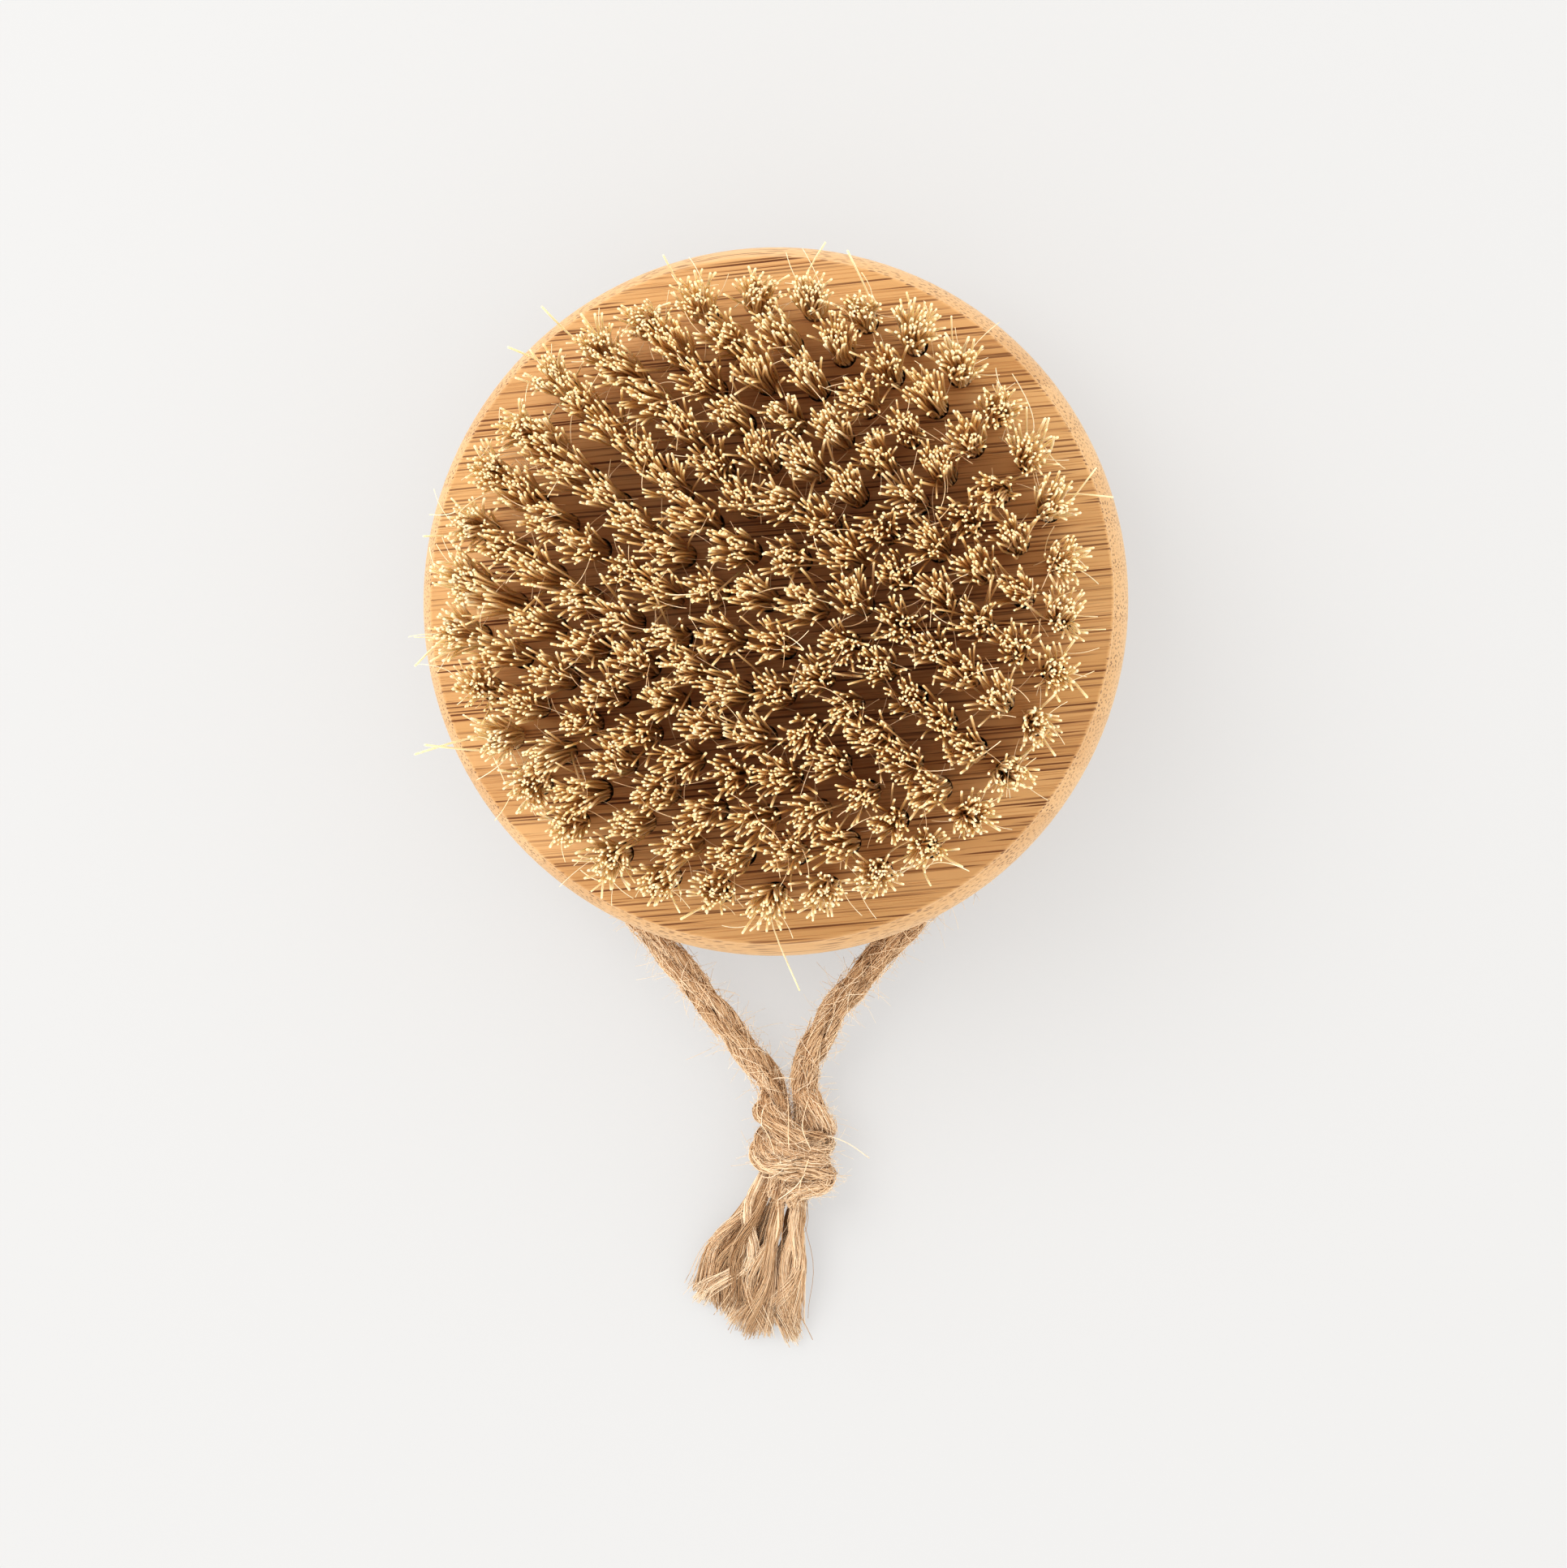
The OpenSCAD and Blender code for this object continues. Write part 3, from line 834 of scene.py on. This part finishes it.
# Long pale hairs across the knot's front, about the knot's middle, and one that sticks out to the right
KNOT_HAIR_R = 0.075 * MM
KNOT_HAIRS = [
    [(-4.8, 8.3, 1.8), (-4.8, 5.0, 3.0), (-3.0, 2.4, 4.8), (-2.1, -0.3, 4.8)],
    [(-0.5, 8.0, 2.4), (-0.1, 5.0, 4.6), (0.0, 2.6, 6.1), (0.1, 0.5, 5.9)],
    [(2.7, 8.0, 2.2), (2.1, 5.6, 3.8), (2.0, 3.4, 5.6), (3.2, 0.5, 5.4)],
    [(-2.9, 10.2, 0.8), (-1.8, 10.5, 1.9), (-0.6, 10.5, 2.0), (0.4, 10.3, 1.5)],
    [(5.2, 2.2, 2.0), (7.0, 1.6, 1.6), (8.8, 0.6, 0.8), (11.2, -1.3, -0.4)],
    [(1.4, -5.6, 4.9), (1.9, -3.8, 5.9), (2.4, -2.4, 5.6), (2.9, -0.8, 5.6)],
    [(-1.9, -7.2, 2.6), (0.2, -5.6, 4.6), (1.4, -4.4, 5.4), (2.4, -3.0, 6.0)],
]


def make_knot(material, hair_material):
    """Two cores, the turns round them, and the hairs: all the knot's pieces."""
    rng = np.random.default_rng(KNOT_SEED)
    routes = [(route, KNOT_CORE_R) for route in KNOT_CORES]
    routes += [(route, radius * MM) for route, radius in zip(KNOT_TURNS, KNOT_TURN_R)]
    pieces, hairs = [], []
    for number, (route, radius) in enumerate(routes):
        path = resample(np.array(route) * MM + KNOT_MID, KNOT_STEP)
        turn = rng.uniform(0, 2 * np.pi)
        pieces.append(rope_piece(
            "knot_turn_%d" % (number + 1), rng, path, radius, material, lay=KNOT_LAY, start_turn=turn,
        ))
        hairs.append(stray_wraps(rng, path, radius, STRAYS_PER_TURN))
        hairs.append(fuzz_lines(rng, path, radius, FUZZ_PER_TURN, KNOT_FUZZ_REACH))
    long_hairs = np.array([resample_to(np.array(line) * MM + KNOT_MID, HAIR_POINTS) for line in KNOT_HAIRS])
    hairs.append((long_hairs, np.full((len(long_hairs), 1), KNOT_HAIR_R)))
    pieces.append(hair_piece("knot_hairs", rng, hairs, hair_material))
    for piece in pieces:
        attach(piece, LOOP)
    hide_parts("rope_knot")
    return pieces


YARN_NODES = ["yarn_%s_%d" % (side, i) for side in ("left", "right") for i in (1, 2, 3)]
TASSEL_SEED = 51
LOCKS_PER_YARN = 4
FIBRES_PER_LOCK = 120
# How far a lock snakes, drifts to the side and arches off the table
LOCK_SWAY = 1.5 * MM
LOCK_DRIFT_MM = 1.7
LOCK_ARCH = (-0.5 * MM, 1.6 * MM)
# Radius of a lock where it starts, and how much wider it gets towards its end, in millimetres
LOCK_R_MM = 0.60
LOCK_FLARE_MM = 0.60
CROSSING_SHARE = 0.035
CROSSING_SHIFT = 1.6 * MM
TASSEL_FIBRE_R_MM = (0.035, 0.075)
TASSEL_TAPER = 0.3
# Distance along a lock of fibres, from the knot to its frayed end
TASSEL_T = np.linspace(0, 1, 13)


def yarn_ends(node):
    """The start and end of a yarn's centreline, from its CAD solid."""
    co = node_points(node)
    near_end = 1.2 * MM
    high = co[co[:, 1] > co[:, 1].max() - near_end].mean(axis=0)
    low = co[co[:, 1] < co[:, 1].min() + near_end].mean(axis=0)
    return high, low


def lock_fibres(rng, start, end):
    """One lock of a frayed yarn: an S-shaped, loosely twisted bunch whose end fans out."""
    count = FIBRES_PER_LOCK
    t = TASSEL_T
    along = unit(end - start)
    across = unit(np.array([-along[1], along[0], 0]))
    sway = rng.normal(0, LOCK_SWAY) * t * np.sin(2.4 * np.pi * t + rng.uniform(-0.6, 0.6))
    drift = rng.uniform(-LOCK_DRIFT_MM, LOCK_DRIFT_MM) * MM
    length = rng.uniform(0.90, 1.05)
    spin = rng.uniform(0, 2 * np.pi, count)
    twist = rng.choice([-1, 1]) * rng.uniform(2.2, 4.5)
    out = np.sqrt(rng.random(count))
    reach = length * rng.uniform(0.90, 1.02, count)[:, None] * t
    centre = start + (end - start) * reach[:, :, None]
    arch = rng.uniform(*LOCK_ARCH) * np.sin(np.pi * t)
    centre[:, :, 2] = start[2] + (end[2] - start[2]) * reach**2 + arch
    centre += (sway + drift * t**1.5)[None, :, None] * across
    width = (LOCK_R_MM + LOCK_FLARE_MM * t**1.5) * MM
    angle = spin[:, None] + twist * t
    lines = centre + (out[:, None] * width * np.cos(angle))[:, :, None] * across
    lines[:, :, 2] += out[:, None] * width * np.sin(angle) * 0.8
    loose = rng.normal(0, 0.2 * MM, (count, 2))
    lines[:, :, :2] += loose[:, None] * (t**2)[None, :, None]
    wave = rng.normal(0, 0.15 * MM, (count, 1)) * np.sin(3 * np.pi * t + rng.uniform(0, 6.3, (count, 1)))
    lines += wave[:, :, None] * across
    # The fibres lie on the table at the lowest
    lines[:, :, 2] = np.maximum(lines[:, :, 2], 0.15 * MM)
    return lines


def make_tassel(material):
    """The frayed ends below the knot, one piece for each yarn."""
    pieces = []
    for number, node in enumerate(YARN_NODES):
        rng = np.random.default_rng(TASSEL_SEED + number)
        start, end = yarn_ends(node)
        lines, tones = [], []
        for _ in range(LOCKS_PER_YARN):
            near = start + rng.normal(0, 0.35 * MM, 3) + (0, 1.5 * MM, 0)
            lines.append(lock_fibres(rng, near, end))
            tones.append(np.clip(rng.normal(0.5, 0.2, FIBRES_PER_LOCK) + rng.normal(0.05, 0.2), 0, 1))
        lines = np.concatenate(lines)
        tones = np.concatenate(tones)
        # A few fibres cross the others
        cross = rng.random(len(lines)) < CROSSING_SHARE
        shift = rng.normal(0, CROSSING_SHIFT, len(lines)) * cross
        lines[:, :, 0] += shift[:, None] * TASSEL_T**1.3
        lines[:, :, 2] += np.abs(shift)[:, None] * 0.4 * np.sin(np.pi * TASSEL_T)
        radii = rng.uniform(*TASSEL_FIBRE_R_MM, (len(lines), 1)) * MM * (1 - TASSEL_TAPER * TASSEL_T)
        piece = tubes("tassel_" + node, lines, radii, JUTE_SIDES, material, {"tone": tones[:, None]})
        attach(piece, LOOP)
        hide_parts(node)
        pieces.append(piece)
    return pieces


# ---- Floor and light ----

FLOOR_HALF = 3.0
FLOOR_GREY = 0.24
FLOOR_GLOW = 0.545
KEY_PLACE = (-0.55, 0.40, 1.0)
KEY_SIZE = 0.8
KEY_POWER = 5
KEY_COLOUR = (1.0, 0.99, 0.98)
HORIZON = (1.0, 0.98, 0.95, 1)
CEILING = (0.56, 0.55, 0.535, 1)
WORLD_STRENGTH = 1.93
VIEW_GAMMA = 0.77
# Pale fibres pass light on to one another many times
MAX_BOUNCES = 20
DIFFUSE_BOUNCES = 14


def make_floor():
    """White acrylic lit from below, as on a product table, so that shadows stay faint."""
    mesh = bpy.data.meshes.new("floor")
    corners = [(x * FLOOR_HALF, y * FLOOR_HALF, 0) for x, y in ((-1, -1), (1, -1), (1, 1), (-1, 1))]
    mesh.from_pydata(corners, [], [(0, 1, 2, 3)])
    floor = bpy.data.objects.new("floor", mesh)
    bpy.context.collection.objects.link(floor)
    n = Nodes("floor_acrylic")
    mesh.materials.append(n.surface(
        (FLOOR_GREY, FLOOR_GREY, FLOOR_GREY, 1), 0.9, Specular_IOR_Level=0.0,
        Emission_Color=(1, 1, 1, 1), Emission_Strength=FLOOR_GLOW,
    ))


def make_key_light():
    """A soft disk of light above the upper left, aimed at the brush."""
    data = bpy.data.lights.new("key", "AREA")
    data.shape = "DISK"
    data.size = KEY_SIZE
    data.energy = KEY_POWER
    data.color = KEY_COLOUR
    light = bpy.data.objects.new("key", data)
    bpy.context.collection.objects.link(light)
    light.location = KEY_PLACE
    light.rotation_euler = (-Vector(KEY_PLACE)).to_track_quat("-Z", "Y").to_euler()


def make_light():
    """Bright screens all round, a dimmer ceiling, and the key light."""
    world = bpy.data.worlds.new("studio")
    bpy.context.scene.world = world
    world.use_nodes = True
    tree = world.node_tree
    direction = tree.nodes.new("ShaderNodeTexCoord").outputs["Generated"]
    split = tree.nodes.new("ShaderNodeSeparateXYZ")
    tree.links.new(direction, split.inputs[0])
    ramp = tree.nodes.new("ShaderNodeValToRGB")
    tree.links.new(split.outputs[2], ramp.inputs[0])
    ramp.color_ramp.elements[0].color = HORIZON
    ramp.color_ramp.elements[1].color = CEILING
    background = tree.nodes["Background"]
    tree.links.new(ramp.outputs[0], background.inputs["Color"])
    background.inputs["Strength"].default_value = WORLD_STRENGTH
    make_key_light()
    bpy.context.scene.view_settings.view_transform = "Standard"
    bpy.context.scene.view_settings.gamma = VIEW_GAMMA
    bpy.context.scene.cycles.max_bounces = MAX_BOUNCES
    bpy.context.scene.cycles.diffuse_bounces = DIFFUSE_BOUNCES


# ---- Make everything ----

def give_material(node, material):
    """One material for a CAD node that shows as it is."""
    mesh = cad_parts[node].data
    mesh.materials.clear()
    mesh.materials.append(material)


def make_rope():
    """The two strands, the knot, the tassel and the rope in the groove."""
    jute = jute_material("jute", (170, 134, 98), (227, 198, 163), (251, 237, 215))
    jute_hair = jute_material("jute_hair", (220, 184, 146), (243, 217, 184), (254, 243, 224))
    strands = make_strands(jute, jute_hair)
    knot = make_knot(jute, jute_hair)
    tassel = make_tassel(jute)
    make_wrap(jute)


make_camera()
make_rope()
give_material("bamboo_block", bamboo_material())
wire = wire_material()
for anchor_node in ANCHOR_NODES:
    give_material(anchor_node, wire)
make_bristles(bristle_material())
make_floor()
make_light()
